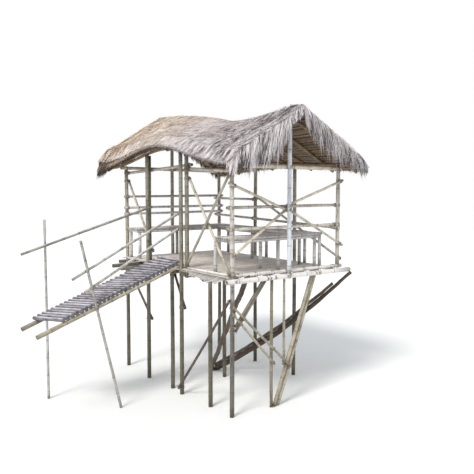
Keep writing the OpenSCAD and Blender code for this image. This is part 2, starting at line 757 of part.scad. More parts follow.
thatch_left();
thatch_right();
ridge_pole();
rafters_left();
rafters_right();
battens_left();
battens_right();
eave_purlin_left();
eave_purlin_right();
tie_beam_front();
tie_beam_back();
left_wall_beams();
post_front_left();
post_front_middle();
post_front_right();
entry_posts_front();
entry_posts_back();
post_back_left();
post_back_middle();
post_back_right();
posts_right_side();
front_rails();
front_braces();
left_braces();
right_rails();
back_rails();
floor_slats();
floor_joists();
floor_bearers();
front_edge_beam();
edge_poles();
bench_front();
bench_right();
bench_back();
left_legs();
centre_leg();
front_struts();
cross_struts();
bowed_log();
under_poles();
left_struts();
ramp_stringers();
ramp_deck();
ramp_rails();
ramp_sticks();
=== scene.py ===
"""Looks of the open stilt house: culms, lashings, split floor, thatch and ramp, around the fixed frame."""

import functools
import math

import bpy
import numpy as np
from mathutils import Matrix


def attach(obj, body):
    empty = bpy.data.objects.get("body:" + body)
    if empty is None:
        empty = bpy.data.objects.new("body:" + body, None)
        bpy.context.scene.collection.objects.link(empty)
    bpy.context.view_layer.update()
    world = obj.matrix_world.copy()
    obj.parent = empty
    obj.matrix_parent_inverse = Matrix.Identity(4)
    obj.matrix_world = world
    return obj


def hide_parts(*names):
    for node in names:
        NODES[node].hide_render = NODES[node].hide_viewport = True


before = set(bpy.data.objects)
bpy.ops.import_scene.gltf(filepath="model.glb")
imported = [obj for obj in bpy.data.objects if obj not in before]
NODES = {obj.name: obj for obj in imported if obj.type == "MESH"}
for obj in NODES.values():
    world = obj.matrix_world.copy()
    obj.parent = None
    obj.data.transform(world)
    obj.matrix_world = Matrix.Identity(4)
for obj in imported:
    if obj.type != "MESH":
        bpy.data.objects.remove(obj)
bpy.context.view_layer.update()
rng = np.random.default_rng(7)


# Camera: the photograph's place, turn and slope, and its focal length in pixels

CAMERA_AT = (-7.561, -10.616, 4.006)
CAMERA_TURN = math.radians(-36.6)
CAMERA_DOWN = math.radians(4.73)
FOCAL_PX = 637.0
IMAGE_PX = 474.0
SENSOR_MM = 36.0


def shown(name, data):
    """Object in the scene."""
    obj = bpy.data.objects.new(name, data)
    bpy.context.scene.collection.objects.link(obj)
    return obj


def camera():
    data = bpy.data.cameras.new("camera")
    data.sensor_width = SENSOR_MM
    data.lens = FOCAL_PX / IMAGE_PX * SENSOR_MM
    obj = shown("camera", data)
    obj.location = CAMERA_AT
    obj.rotation_euler = (math.pi / 2 - CAMERA_DOWN, 0.0, CAMERA_TURN)
    bpy.context.scene.camera = obj


# Lights and floor of the studio: strengths, the sun's turn in degrees and its softness in radians

SUN_STRENGTH = 2.3
SUN_TURN = (42, 0, -68)
SUN_SOFTNESS = 0.30
SUN_COLOUR = (1.0, 0.98, 0.94)
FILL_STRENGTH = 0.78
FILL_COLOUR = (0.92, 0.96, 1.0, 1.0)
WHITE_COLOUR = (1.0, 1.0, 1.0, 1.0)
FLOOR_HALF = 40.0
FLOOR_COLOUR = (0.90, 0.90, 0.89, 1.0)
FLOOR_ROUGHNESS = 0.9


def sun():
    data = bpy.data.lights.new("key", "SUN")
    data.energy = SUN_STRENGTH
    data.angle = SUN_SOFTNESS
    data.color = SUN_COLOUR
    shown("key", data).rotation_euler = [math.radians(a) for a in SUN_TURN]


def background():
    """Even fill light, which the camera, mirrors and glass see as plain white."""
    world = bpy.data.worlds.new("world")
    bpy.context.scene.world = world
    world.use_nodes = True
    tree = world.node_tree
    tree.nodes.clear()
    mix = tree.nodes.new("ShaderNodeMixShader")
    tree.links.new(seen_rays(tree), mix.inputs[0])
    for slot, colour, strength in ((1, FILL_COLOUR, FILL_STRENGTH), (2, WHITE_COLOUR, 1.0)):
        light = tree.nodes.new("ShaderNodeBackground")
        light.inputs["Color"].default_value = colour
        light.inputs["Strength"].default_value = strength
        tree.links.new(light.outputs[0], mix.inputs[slot])
    out = tree.nodes.new("ShaderNodeOutputWorld")
    tree.links.new(mix.outputs[0], out.inputs["Surface"])


def seen_rays(tree):
    """1 for a camera, glossy or transmission ray, which see the white background."""
    rays = tree.nodes.new("ShaderNodeLightPath")
    value = rays.outputs["Is Camera Ray"]
    for name in ("Is Glossy Ray", "Is Transmission Ray"):
        top = tree.nodes.new("ShaderNodeMath")
        top.operation = "MAXIMUM"
        tree.links.new(value, top.inputs[0])
        tree.links.new(rays.outputs[name], top.inputs[1])
        value = top.outputs[0]
    return value


def floor():
    """Plain ground of the studio, which isn't part of the object."""
    verts = np.array([(-1, -1, 0), (1, -1, 0), (1, 1, 0), (-1, 1, 0)]) * FLOOR_HALF
    material = bpy.data.materials.new("studio_floor")
    material.use_nodes = True
    shader = material.node_tree.nodes["Principled BSDF"]
    shader.inputs["Base Color"].default_value = FLOOR_COLOUR
    shader.inputs["Roughness"].default_value = FLOOR_ROUGHNESS
    obj = mesh_object("studio_floor", verts, [np.array([[0, 1, 2, 3]])], material)


# Meshes

def mesh_object(name, verts, faces, material, attrs=None):
    """Smooth object from vertices and a list of face arrays, with attributes of its points."""
    mesh = bpy.data.meshes.new(name)
    loops = np.concatenate([f.ravel() for f in faces])
    sizes = np.concatenate([np.full(len(f), f.shape[1]) for f in faces])
    mesh.vertices.add(len(verts))
    mesh.vertices.foreach_set("co", verts.ravel())
    mesh.loops.add(len(loops))
    mesh.loops.foreach_set("vertex_index", loops.astype(np.int32))
    mesh.polygons.add(len(sizes))
    mesh.polygons.foreach_set("loop_start", (np.cumsum(sizes) - sizes).astype(np.int32))
    mesh.update(calc_edges=True)
    mesh.validate()
    for key, values in (attrs or {}).items():
        kind, field = ("FLOAT", "value") if values.ndim == 1 else ("FLOAT_VECTOR", "vector")
        mesh.attributes.new(key, kind, "POINT").data.foreach_set(field, values.ravel())
    mesh.polygons.foreach_set("use_smooth", np.full(len(sizes), True))
    mesh.materials.append(material)
    return shown(name, mesh)


class Batch:
    """Gathers small meshes into one piece, with the grain, the tint and the dark mark of each point."""

    def __init__(self):
        self.verts, self.faces, self.count = [], {}, 0
        self.attrs = {"grain": [], "tint": [], "mark": []}

    def add(self, verts, faces, grain, tint, mark):
        self.verts.append(verts.reshape(-1, 3))
        n = len(self.verts[-1])
        for f in faces:
            self.faces.setdefault(f.shape[1], []).append(f + self.count)
        self.attrs["grain"].append(grain.reshape(-1, 3))
        self.attrs["tint"].append(np.broadcast_to(tint, n))
        self.attrs["mark"].append(np.broadcast_to(mark, n))
        self.count += n

    def make(self, name, material, slot, replaces=()):
        verts = np.concatenate(self.verts)
        faces = [np.concatenate(f) for f in self.faces.values()]
        attrs = {key: np.concatenate(parts) for key, parts in self.attrs.items()}
        obj = mesh_object(name, verts, faces, material, attrs)
        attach(obj, "root")
        if replaces:
            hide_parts(*replaces)


def unit(v):
    return v / np.linalg.norm(v, axis=-1, keepdims=True)


def grade(value, start, width):
    """0 up to start, then rising to 1 over a width."""
    return np.clip((value - start) / width, 0, 1)


def ring_quads(rings, sides):
    """Faces of an open tube of rings."""
    i = np.arange(rings - 1)[:, None] * sides
    k = np.arange(sides)
    a = i + k
    b = i + (k + 1) % sides
    return np.stack([a + sides, b + sides, b, a], -1).reshape(-1, 4)


def tube(rings, sides):
    """Faces of a closed tube of rings."""
    ring = np.arange(sides)
    return [ring_quads(rings, sides), np.array([ring, (rings - 1) * sides + ring[::-1]])]


# Poles read from the frame

# Digits that tell two points apart, and the least gap between rings of a bent pole and points in a ring
POINT_DIGITS = 5
RING_GAP = 0.03
RING_POINTS = 7


def islands(obj):
    """Unique points of each separate solid in a CAD node."""
    mesh = obj.data
    co = np.zeros(len(mesh.vertices) * 3)
    mesh.vertices.foreach_get("co", co)
    keys, index = np.unique(np.round(co.reshape(-1, 3), POINT_DIGITS), axis=0, return_inverse=True)
    index = index.ravel()
    ends = np.zeros(len(mesh.edges) * 2, np.int32)
    mesh.edges.foreach_get("vertices", ends)
    ends = index[ends].reshape(-1, 2)
    label = np.arange(len(keys))
    while True:
        low = np.minimum(label[ends[:, 0]], label[ends[:, 1]])
        new = label.copy()
        np.minimum.at(new, ends[:, 0], low)
        np.minimum.at(new, ends[:, 1], low)
        new = new[new]
        if (new == label).all():
            break
        label = new
    return [keys[label == k] for k in np.unique(label)]


def along_main(points):
    """Place of each point along the longest way through them."""
    off = points - points.mean(0)
    return off @ np.linalg.svd(off, full_matrices=False)[2][0]


def straight_axis(points):
    """Ends and radius of a straight pole."""
    t = along_main(points)
    a, b = points[t < 0].mean(0), points[t >= 0].mean(0)
    line = unit(b - a)
    off = (points - a) - ((points - a) @ line)[:, None] * line
    return a, b, np.linalg.norm(off, axis=1).max()


def bent_axis(points):
    """Centres of the rings of a bent pole, and its radius."""
    t = along_main(points)
    order = np.argsort(t)
    t, points = t[order], points[order]
    cut = np.where(np.diff(t) > RING_GAP)[0] + 1
    rings = [ring for ring in np.split(points, cut) if len(ring) >= RING_POINTS]
    path = np.array([ring.mean(0) for ring in rings])
    middle = len(rings) // 2
    radius = np.linalg.norm(rings[middle] - path[middle], axis=1).max()
    return path, radius


@functools.cache
def poles_of(node):
    """Every straight pole of a node, kept for the lashings too."""
    return [straight_axis(p) for p in islands(NODES[node])]


# Culms: sides, inner radius as a share of the outer, and depth of the open ends
CULM_SIDES = 12
HOLLOW_SHARE = 0.76
HOLLOW_DEEP = 0.03
# Radius shares and dark marks from the bottom of the open end out to its rim: the dark inside the hollow is
# painted shade, the lighter marks on the rim are the cut end
END_SHARES = [0.05, HOLLOW_SHARE - 0.04, HOLLOW_SHARE, 1.0]
END_MARKS = [1.0, 1.0, 0.45, 0.3]
# Half widths of a node's groove and lip, and the radius shares and dark marks across it
NODE_GROOVE = 0.006
NODE_LIP = 0.018
NODE_SHARES = [1.0, 1.05, 0.985, 1.07, 1.0]
NODE_MARKS = [0.0, 0.25, 0.75, 0.2, 0.0]
# Steps between the nodes of a bent culm, and how clear they stay of its end and of its nodes
BEND_STEP = 0.12
BEND_END = 0.05
BEND_CLEAR = 0.02
# Poles bow square to this direction
BOW_WAY = (0.31, 0.52, 0.79)
# How far a tint of 1 moves the grain, so that no two pieces share their streaks
CULM_SHIFT = 37.0
STRIP_SHIFT = 41
STRAND_SHIFT = 31
BATTEN_SHIFT = 17


def measured(path):
    """A path as an array, and the distance of each of its points from the start."""
    path = np.asarray(path, float)
    return path, np.r_[0, np.cumsum(np.linalg.norm(np.diff(path, axis=0), axis=1))]


def points_at(path, steps, at):
    return np.stack([np.interp(at, steps, path[:, k]) for k in range(3)], 1)


def culm_stations(length, spacing, taper):
    """Places along a culm, radius shares and dark marks: raised rings at the nodes, and hollow ends that are
    dark inside as painted shade.
    """
    at = [HOLLOW_DEEP, HOLLOW_DEEP, 0.0, 0.0]
    share, mark = list(END_SHARES), list(END_MARKS)
    x = spacing * rng.uniform(0.3, 1.0)
    while x < length - 2 * NODE_LIP:
        at += [x - NODE_LIP, x - NODE_GROOVE, x, x + NODE_GROOVE, x + NODE_LIP]
        share += NODE_SHARES
        mark += NODE_MARKS
        x += spacing * rng.uniform(0.82, 1.18)
    at += [length, length, length - HOLLOW_DEEP, length - HOLLOW_DEEP]
    share += END_SHARES[::-1]
    mark += END_MARKS[::-1]
    at = np.array(at)
    return at, np.array(share) * (1 - taper * np.clip(at / length, 0, 1)), np.array(mark)


def bend_stations(at, share, mark, length, taper):
    """More stations between the nodes; the three of each open end stay."""
    fill = np.arange(BEND_STEP, length - BEND_END, BEND_STEP)
    fill = fill[[np.abs(at - f).min() > BEND_CLEAR for f in fill]]
    order = np.argsort(np.r_[at[3:-3], fill], kind="stable")
    added = ((at, fill), (share, 1 - taper * fill / length), (mark, np.zeros(len(fill))))
    return [np.r_[old[:3], np.r_[old[3:-3], new][order], old[-3:]] for old, new in added]


def culm(batch, path, radius, tint, spacing, taper, bow=0.0):
    """Bamboo culm along a straight or bent path: a slight bow, with a small wave on it."""
    path, steps = measured(path)
    length = steps[-1]
    at, share, mark = culm_stations(length, spacing, taper)
    if len(path) > 2:
        at, share, mark = bend_stations(at, share, mark, length, taper)
    centres = points_at(path, steps, at)
    line = unit(path[-1] - path[0])
    side = unit(np.cross(line, BOW_WAY))
    swing = np.sin(at / length * math.pi) * bow + np.sin(at / length * 7.0 + tint * 9) * bow * 0.25
    centres = centres + side * (swing * np.clip(at * (length - at) * 4, 0, 1))[:, None]
    radii = radius * share
    keep = np.r_[True, np.linalg.norm(np.diff(centres, axis=0), axis=1) + np.abs(np.diff(radii)) > 1e-5]
    sweep_rings(batch, centres[keep], radii[keep], CULM_SIDES, tint, mark[keep], at[keep], line)


def sweep_rings(batch, centres, radii, sides, tint, mark, lengths, line):
    """Tube of rings along a nearly straight path, kept above the ground; hollow ends turn back."""
    seed = np.array([1.0, 0.0, 0.0]) if abs(line[0]) < 0.8 else np.array([0.0, 1.0, 0.0])
    side = unit(np.cross(line, seed))
    up = np.cross(side, line)
    angle = np.arange(sides) / sides * 2 * math.pi
    cos, sin = np.cos(angle), np.sin(angle)
    ring = cos[:, None] * side + sin[:, None] * up
    verts = centres[:, None] + ring * radii[:, None, None]
    verts[:, :, 2] = np.maximum(verts[:, :, 2], 0.0)
    n = len(centres)
    grain = np.zeros((n, sides, 3))
    grain[:, :, 0] = cos * radii.max()
    grain[:, :, 1] = sin * radii.max()
    grain[:, :, 2] = lengths[:, None] + tint * CULM_SHIFT
    batch.add(verts, tube(n, sides), grain, tint, np.repeat(mark, sides))


# Materials

class Shader:
    """Short ways to wire a node material. A colour is a tuple of three."""

    def __init__(self, name, roughness, specular):
        self.material = bpy.data.materials.new(name)
        self.material.use_nodes = True
        self.tree = self.material.node_tree
        self.bsdf = self.tree.nodes["Principled BSDF"]
        self.bsdf.inputs["Roughness"].default_value = roughness
        self.bsdf.inputs["Specular IOR Level"].default_value = specular

    def node(self, kind, **settings):
        node = self.tree.nodes.new(kind)
        for key, value in settings.items():
            setattr(node, key, value)
        return node

    def link(self, a, b):
        self.tree.links.new(a, b)

    def feed(self, socket, value):
        """Set a number or a colour, or link another node's output."""
        if isinstance(value, bpy.types.NodeSocket):
            self.link(value, socket)
        else:
            socket.default_value = (*value, 1.0) if isinstance(value, tuple) else value

    def attribute(self, name, output="Fac"):
        return self.node("ShaderNodeAttribute", attribute_name=name).outputs[output]

    def geometry(self, output):
        return self.node("ShaderNodeNewGeometry").outputs[output]

    def axis(self, output, letter):
        """One part of a vector of the geometry node."""
        node = self.node("ShaderNodeSeparateXYZ")
        self.link(self.geometry(output), node.inputs[0])
        return node.outputs[letter]

    def noise(self, vector, scale, detail, rough=0.6):
        node = self.node("ShaderNodeTexNoise")
        node.inputs["Scale"].default_value = scale
        node.inputs["Detail"].default_value = detail
        node.inputs["Roughness"].default_value = rough
        self.link(vector, node.inputs["Vector"])
        return node.outputs["Fac"]

    def along_grain(self, stretch, scale, detail, rough=0.6):
        """Noise stretched along the grain."""
        node = self.node("ShaderNodeMapping")
        node.inputs["Scale"].default_value = stretch
        self.link(self.attribute("grain", "Vector"), node.inputs["Vector"])
        return self.noise(node.outputs[0], scale, detail, rough)

    def ramp(self, value, stops):
        node = self.node("ShaderNodeValToRGB")
        while len(node.color_ramp.elements) < len(stops):
            node.color_ramp.elements.new(0.5)
        for element, (place, col) in zip(node.color_ramp.elements, stops):
            element.position = place
            element.color = (*col, 1.0)
        self.link(value, node.inputs[0])
        return node.outputs[0]

    def mix(self, factor, a, b, kind="MIX"):
        node = self.node("ShaderNodeMix", data_type="RGBA", blend_type=kind)
        for place, value in ((0, factor), (6, a), (7, b)):
            self.feed(node.inputs[place], value)
        return node.outputs[2]

    def maths(self, kind, a, b):
        node = self.node("ShaderNodeMath", operation=kind)
        for socket, value in zip(node.inputs, (a, b)):
            self.feed(socket, value)
        return node.outputs[0]

    def bump(self, height, strength, distance):
        node = self.node("ShaderNodeBump")
        node.inputs["Strength"].default_value = strength
        node.inputs["Distance"].default_value = distance
        self.link(height, node.inputs["Height"])
        self.link(node.outputs[0], self.bsdf.inputs["Normal"])

    def finish(self, base):
        self.link(base, self.bsdf.inputs["Base Color"])
        return self.material


BLACK = (0.0, 0.0, 0.0)
WHITE_TONE = (1.0, 1.0, 1.0)
# Shade of a culm by its tint, and colour of its node rings, its cut ends and the painted shade inside its
# hollow ends
CULM_TONES = [(0.0, (0.62, 0.60, 0.56)), (0.5, WHITE_TONE), (1.0, (1.10, 1.08, 1.04))]
CULM_MARK = (0.055, 0.042, 0.030)
# Heights, in tens of metres, between which the darker part under the floor ends: partly weathering from
# moisture, partly painted shade of the floor above
DAMP_AND_SHADE_TOP = (0.19, 0.238)
# Upward parts of the normal between which the painted shade on the sides and undersides ends
SIDE_SHADE_TOP = (0.40, 0.86)


def bamboo(name, pale, mid, deep, roughness=0.5, damp_and_shade=1.0, sides=1.0):
    """Culm skin: streaks along the grain, blotches, a shade for each pole, dark node rings, and ends that are
    dark inside the hollow as painted shade.

    The last two arguments are how much of its brightness it keeps under the floor, where it is partly
    weathered and partly in painted shade of the floor above, and how much on the sides that face sideways or
    down, as painted shade."""
    s = Shader(name, roughness, 0.35)
    streak = s.along_grain((60, 60, 2.2), 3.0, 4.0)
    blotch = s.along_grain((9, 9, 3.5), 1.6, 5.0, 0.7)
    skin = s.ramp(blotch, [(0.30, deep), (0.48, mid), (0.66, pale)])
    skin = s.mix(s.maths("MULTIPLY", streak, 0.45), skin, deep)
    skin = s.mix(1.0, skin, s.ramp(s.attribute("tint"), CULM_TONES), "MULTIPLY")
    # Darker under the floor: partly weathering from moisture, partly painted shade of the floor above
    if damp_and_shade < 1.0:
        height = s.maths("MULTIPLY", s.axis("Position", "Z"), 0.1)
        wet_and_shaded = (damp_and_shade, damp_and_shade * 0.97, damp_and_shade * 0.92)
        low = s.ramp(height, [(DAMP_AND_SHADE_TOP[0], wet_and_shaded), (DAMP_AND_SHADE_TOP[1], WHITE_TONE)])
        skin = s.mix(1.0, skin, low, "MULTIPLY")
    # Painted shade: darker on the sides that face sideways or down
    if sides < 1.0:
        side_shade_tone = (sides, sides, sides)
        side_shade = s.ramp(s.axis("Normal", "Z"), [(SIDE_SHADE_TOP[0], side_shade_tone), (SIDE_SHADE_TOP[1], WHITE_TONE)])
        skin = s.mix(1.0, skin, side_shade, "MULTIPLY")
    skin = s.mix(s.attribute("mark"), skin, CULM_MARK)
    s.bump(streak, 0.35, 0.004)
    return s.finish(skin)


# Straw by its tint, in front and at the back, and the hues that single strands lean to
LILAC_STRAW = [(0.0, (0.040, 0.036, 0.038)), (0.25, (0.25, 0.23, 0.24)), (0.5, (0.68, 0.64, 0.66)),
               (0.75, (0.96, 0.91, 0.92)), (1.0, (1.0, 0.98, 0.98))]
GOLD_STRAW = [(0.0, (0.045, 0.034, 0.024)), (0.25, (0.28, 0.20, 0.13)), (0.5, (0.62, 0.50, 0.37)),
              (0.75, (0.93, 0.80, 0.64)), (1.0, (1.0, 0.94, 0.80))]
STRAW_HUES = [(0.38, (1.0, 0.93, 0.86)), (0.62, (0.94, 0.95, 1.0))]
# Painted shade at the roots of the strands, where they lie under the others
STRAW_ROOT_SHADE = (0.15, 0.115, 0.10)
STRAW_DUST = (0.24, 0.20, 0.18)


def thatch_material():
    """Dry grass: a shade for each strand, lilac grey in front, more golden to the back, dark at the root as
    painted shade under the other strands.
    """
    s = Shader("thatch", 0.85, 0.15)
    lilac = s.ramp(s.attribute("tint"), LILAC_STRAW)
    gold = s.ramp(s.attribute("tint"), GOLD_STRAW)
    patchy = s.maths("MULTIPLY", s.noise(s.geometry("Position"), 1.7, 4.0), 0.9)
    back = s.maths("ADD", s.maths("MULTIPLY", s.axis("Position", "Y"), 0.16), patchy)
    straw = s.mix(s.ramp(back, [(0.30, BLACK), (0.95, WHITE_TONE)]), lilac, gold)
    own = s.along_grain((0, 0, 5), 1.0, 1.0)
    straw = s.mix(0.8, straw, s.ramp(own, STRAW_HUES), "MULTIPLY")
    # Painted shade towards each strand's root
    straw = s.mix(s.maths("MULTIPLY", s.attribute("mark"), 0.6), straw, STRAW_ROOT_SHADE)
    fine = s.along_grain((40, 40, 6), 2.0, 3.0)
    straw = s.mix(s.maths("MULTIPLY", fine, 0.1), straw, STRAW_DUST)
    return s.finish(straw)


def cord_material():
    """Twisted fibre cord, weathered brown."""
    s = Shader("lashing_cord", 0.8, 0.2)
    twist = s.along_grain((200, 200, 200), 2.0, 2.0)
    base = s.ramp(twist, [(0.3, (0.16, 0.13, 0.10)), (0.7, (0.38, 0.32, 0.25))])
    s.bump(twist, 0.5, 0.002)
    return s.finish(base)


# Each bamboo has a pale, a middle and a deep tone
PALE = bamboo("pale_bamboo", (0.86, 0.83, 0.78), (0.66, 0.62, 0.56), (0.27, 0.24, 0.20))
POST = bamboo("corner_post_bamboo", (0.72, 0.69, 0.64), (0.52, 0.49, 0.44), (0.20, 0.175, 0.15), damp_and_shade=0.28)
WHITE = bamboo("bleached_bamboo", (0.86, 0.89, 0.95), (0.74, 0.77, 0.83), (0.36, 0.36, 0.37))
GOLD = bamboo("golden_bamboo", (0.86, 0.80, 0.70), (0.64, 0.575, 0.475), (0.25, 0.20, 0.145))
RAIL = bamboo("ramp_rail_bamboo", (0.88, 0.87, 0.84), (0.67, 0.655, 0.62), (0.26, 0.24, 0.21), sides=0.70)
EDGE = bamboo("front_edge_bamboo", (0.95, 0.92, 0.90), (0.89, 0.855, 0.83), (0.50, 0.46, 0.43))
BENCH = bamboo("bench_bamboo", (0.93, 0.92, 0.93), (0.86, 0.84, 0.84), (0.38, 0.35, 0.34))
OLIVE = bamboo("olive_bamboo", (0.54, 0.50, 0.41), (0.37, 0.34, 0.265), (0.15, 0.13, 0.10), damp_and_shade=0.36)
ENTRY = bamboo("entry_bamboo", (0.36, 0.34, 0.265), (0.25, 0.235, 0.18), (0.10, 0.088, 0.065), damp_and_shade=0.50)
FAN = bamboo("strut_bamboo", (0.74, 0.70, 0.60), (0.53, 0.49, 0.40), (0.20, 0.175, 0.14), damp_and_shade=0.72)
KNEE = bamboo("knee_bamboo", (0.34, 0.30, 0.24), (0.23, 0.20, 0.155), (0.09, 0.075, 0.06))
BEARER = bamboo("bearer_bamboo", (0.27, 0.25, 0.21), (0.18, 0.165, 0.135), (0.07, 0.062, 0.05))
ROOF = bamboo("roof_bamboo", (0.46, 0.33, 0.19), (0.30, 0.205, 0.115), (0.13, 0.085, 0.05), 0.6)
DARK = bamboo("dark_timber", (0.20, 0.155, 0.125), (0.12, 0.092, 0.072), (0.045, 0.034, 0.027), 0.75)
DECK = bamboo("ramp_poles", (0.84, 0.81, 0.90), (0.60, 0.57, 0.65), (0.16, 0.15, 0.17), 0.65, sides=0.34)
FLOOR = bamboo("split_bamboo_floor", (0.95, 0.91, 0.88), (0.87, 0.82, 0.78), (0.56, 0.50, 0.46), 0.6)
RAGGED = bamboo("ragged_floor_ends", (0.92, 0.91, 0.90), (0.70, 0.68, 0.66), (0.26, 0.23, 0.21), 0.7)
THATCH = thatch_material()
CORD = cord_material()


# Structure: every pole of a CAD node becomes a culm of the same place and size

# Material, slot and CAD nodes of each piece
STRAIGHT = {
    "tie_beams": (GOLD, "pale_bamboo", ["tie_beam_front", "tie_beam_back"]),
    "wall_beams": (PALE, "pale_bamboo", ["left_wall_beams"]),
    "front_middle_post": (WHITE, "pale_bamboo", ["post_front_middle"]),
    "front_corner_posts": (POST, "pale_bamboo", ["post_front_left", "post_front_right"]),
    "entry_posts": (ENTRY, "olive_bamboo", ["entry_posts_front", "entry_posts_back"]),
    "back_posts": (OLIVE, "olive_bamboo", ["post_back_left", "post_back_middle", "post_back_right"]),
    "right_posts": (OLIVE, "olive_bamboo", ["posts_right_side"]),
    "wall_rails": (PALE, "pale_bamboo", ["front_rails", "right_rails"]),
    "rear_rails": (BENCH, "olive_bamboo", ["back_rails"]),
    "front_wall_braces": (GOLD, "pale_bamboo", ["front_braces"]),
    "left_wall_braces": (FAN, "pale_bamboo", ["left_braces"]),
    "front_edge": (EDGE, "pale_bamboo", ["front_edge_beam", "edge_poles"]),
    "floor_frame": (POST, "pale_bamboo", ["floor_joists"]),
    "cross_bearers": (BEARER, "olive_bamboo", ["floor_bearers"]),
    "benches": (BENCH, "pale_bamboo", ["bench_front", "bench_right", "bench_back"]),
    "legs": (OLIVE, "olive_bamboo", ["left_legs", "centre_leg"]),
    "front_fan": (FAN, "pale_bamboo", ["front_struts", "cross_struts"]),
    "side_struts": (DARK, "dark_timber", ["left_struts"]),
    "ramp_stringers_bamboo": (FAN, "pale_bamboo", ["ramp_stringers"]),
    "ramp_frame": (RAIL, "pale_bamboo", ["ramp_rails", "ramp_sticks"]),
    "rafters": (ROOF, "roof_bamboo", ["rafters_left", "rafters_right"]),
}

# Shade of the posts that show most, 0 dark to 1 pale
SHADE = {"front_middle_post": 0.5, "front_corner_posts": 0.5, "entry_posts": 0.6}
# Cross struts thicker than this are knee braces
KNEE_R = 0.024
# Share of the lying poles that are turned end to end, and how little such a pole rises
FLIPPED = 0.3
LYING = 0.5
# Bow of a culm, as a share of its length, and at most
BOW_SHARE = 0.0035
BOW_MOST = 0.010
# Spacing of the nodes and loss of thickness of culms, and of those that have no draw of their own
CULM_SPACING = (0.28, 0.40)
CULM_TAPER = (0.03, 0.09)
KNEE_SPACING = 0.34
ROOF_SPACING = 0.36
SLIGHT_TAPER = 0.05


def structure():
    for piece, (material, slot, nodes) in STRAIGHT.items():
        batch = Batch()
        for node in nodes:
            for a, b, radius in poles_of(node):
                if node == "cross_struts" and radius > KNEE_R:
                    continue
                flip = rng.random() < FLIPPED and abs(b[2] - a[2]) < LYING
                low, high = (a, b) if (a[2] < b[2]) != flip else (b, a)
                bow = min(BOW_SHARE * np.linalg.norm(b - a), BOW_MOST) * rng.uniform(-1, 1)
                shade = SHADE.get(piece, rng.random())
                spacing, taper = rng.uniform(*CULM_SPACING), rng.uniform(*CULM_TAPER)
                culm(batch, [low, high], radius, shade, spacing, taper, bow)
        batch.make(piece, material, slot, nodes)


def knee_braces():
    """The thicker pair of the cross struts, darker than the thin ones."""
    batch = Batch()
    for a, b, radius in poles_of("cross_struts"):
        if radius > KNEE_R:
            path = [a, b] if a[2] < b[2] else [b, a]
            culm(batch, path, radius, rng.random(), KNEE_SPACING, SLIGHT_TAPER)
    batch.make("knee_braces", KNEE, "olive_bamboo")


def bent_poles():
    bent = {"ridge": "ridge_pole", "purlin_left": "eave_purlin_left", "purlin_right": "eave_purlin_right"}
    for piece, node in bent.items():
        batch = Batch()
        path, radius = bent_axis(islands(NODES[node])[0])
        culm(batch, path, radius, rng.random(), ROOF_SPACING, SLIGHT_TAPER)
        batch.make(piece, ROOF, "roof_bamboo", [node])


# Logs and ramp poles: rough round wood without culm nodes

# Bends of a rough pole: radians a metre, shift by its tint, and share
ROUGH_WAVES = ((5.1, 20, 0.5), (11.3, 50, 0.3), (27.0, 90, 0.2))
ROUGH_SWELL = 0.08
ROUGH_RIM = 0.9
# The log grows thinner over its upper half, by this share of its radius, and ends this much short
TRUNK_TAPER = 0.45
TRUNK_CUT = 0.10
# A solid of more points than this is bent
STRAIGHT_POINTS = 60


def rough_pole(batch, path, radius, tint, knots, sides, step=0.07, end_mark=0.5, taper=0.0):
    """Round wood that wanders by knots from its line, thinner over its upper half by taper."""
    path, steps = measured(path)
    length = steps[-1]
    at = np.linspace(0, length, max(4, int(length / step)))
    centres = points_at(path, steps, at)
    wave = sum(np.sin(at * pitch + tint * shift) * share for pitch, shift, share in ROUGH_WAVES)
    line = unit(path[-1] - path[0])
    side = unit(np.cross(line, BOW_WAY))
    ends = np.clip(np.minimum(at, length - at) * 8, 0, 1)
    centres = centres + side * (wave * knots * ends)[:, None]
    lost = radius * taper * np.clip(at / length * 2 - 1, 0, 1)
    radii = radius * (1 + ROUGH_SWELL * np.roll(wave, 3)) - lost
    centres[:, 2] += lost
    centres = np.concatenate([centres[:1], centres, centres[-1:]])
    radii = np.r_[radii[0] * ROUGH_RIM, radii, radii[-1] * ROUGH_RIM]
    mark = np.r_[end_mark, np.zeros(len(at)), end_mark]
    sweep_rings(batch, centres, radii, sides, tint, mark, np.r_[0, at, at[-1]], line)


def logs():
    for piece, node in (("bowed_trunk", "bowed_log"), ("leaning_poles", "under_poles")):
        batch = Batch()
        for points in islands(NODES[node]):
            taper = 0.0
            if len(points) > STRAIGHT_POINTS:
                path, radius = bent_axis(points)
                if piece == "bowed_trunk":
                    path, taper = path[np.argsort(path[:, 2])], TRUNK_TAPER
                    path[-1] += unit(path[-2] - path[-1]) * TRUNK_CUT
            else:
                a, b, radius = straight_axis(points)
                path = [a, b]
            rough_pole(batch, path, radius, rng.random(), knots=0.012, sides=14, taper=taper)
        batch.make(piece, DARK, "dark_timber", [node])


def ramp_deck():
    batch = Batch()
    for a, b, radius in poles_of("ramp_deck"):
        radius *= rng.uniform(0.98, 1.10)
        rough_pole(batch, [a, b], radius, rng.random(), knots=0.004, sides=10, step=0.12, end_mark=0.15)
    batch.make("ramp_deck_poles", DECK, "ramp_poles", ["ramp_deck"])


# Floor: each CAD slat is split into strips with ragged ends

STRIP_W = 0.021
STRIP_GAP = 0.003
SLAT_T = 0.018
# Spacing of a strip's node lines, their half width, and its dark marks at its start, nodes and end
STRIP_SPACING = (0.28, 0.36)
STRIP_LINE = 0.008
STRIP_MARKS = (0.25, 0.7, 0.4)
# How much lower its edges lie than its middle
STRIP_CROWN = 0.003
STRIP_SIDES = 5
# Points this near a slat's end or top belong to it
SLAT_NEAR = 0.001


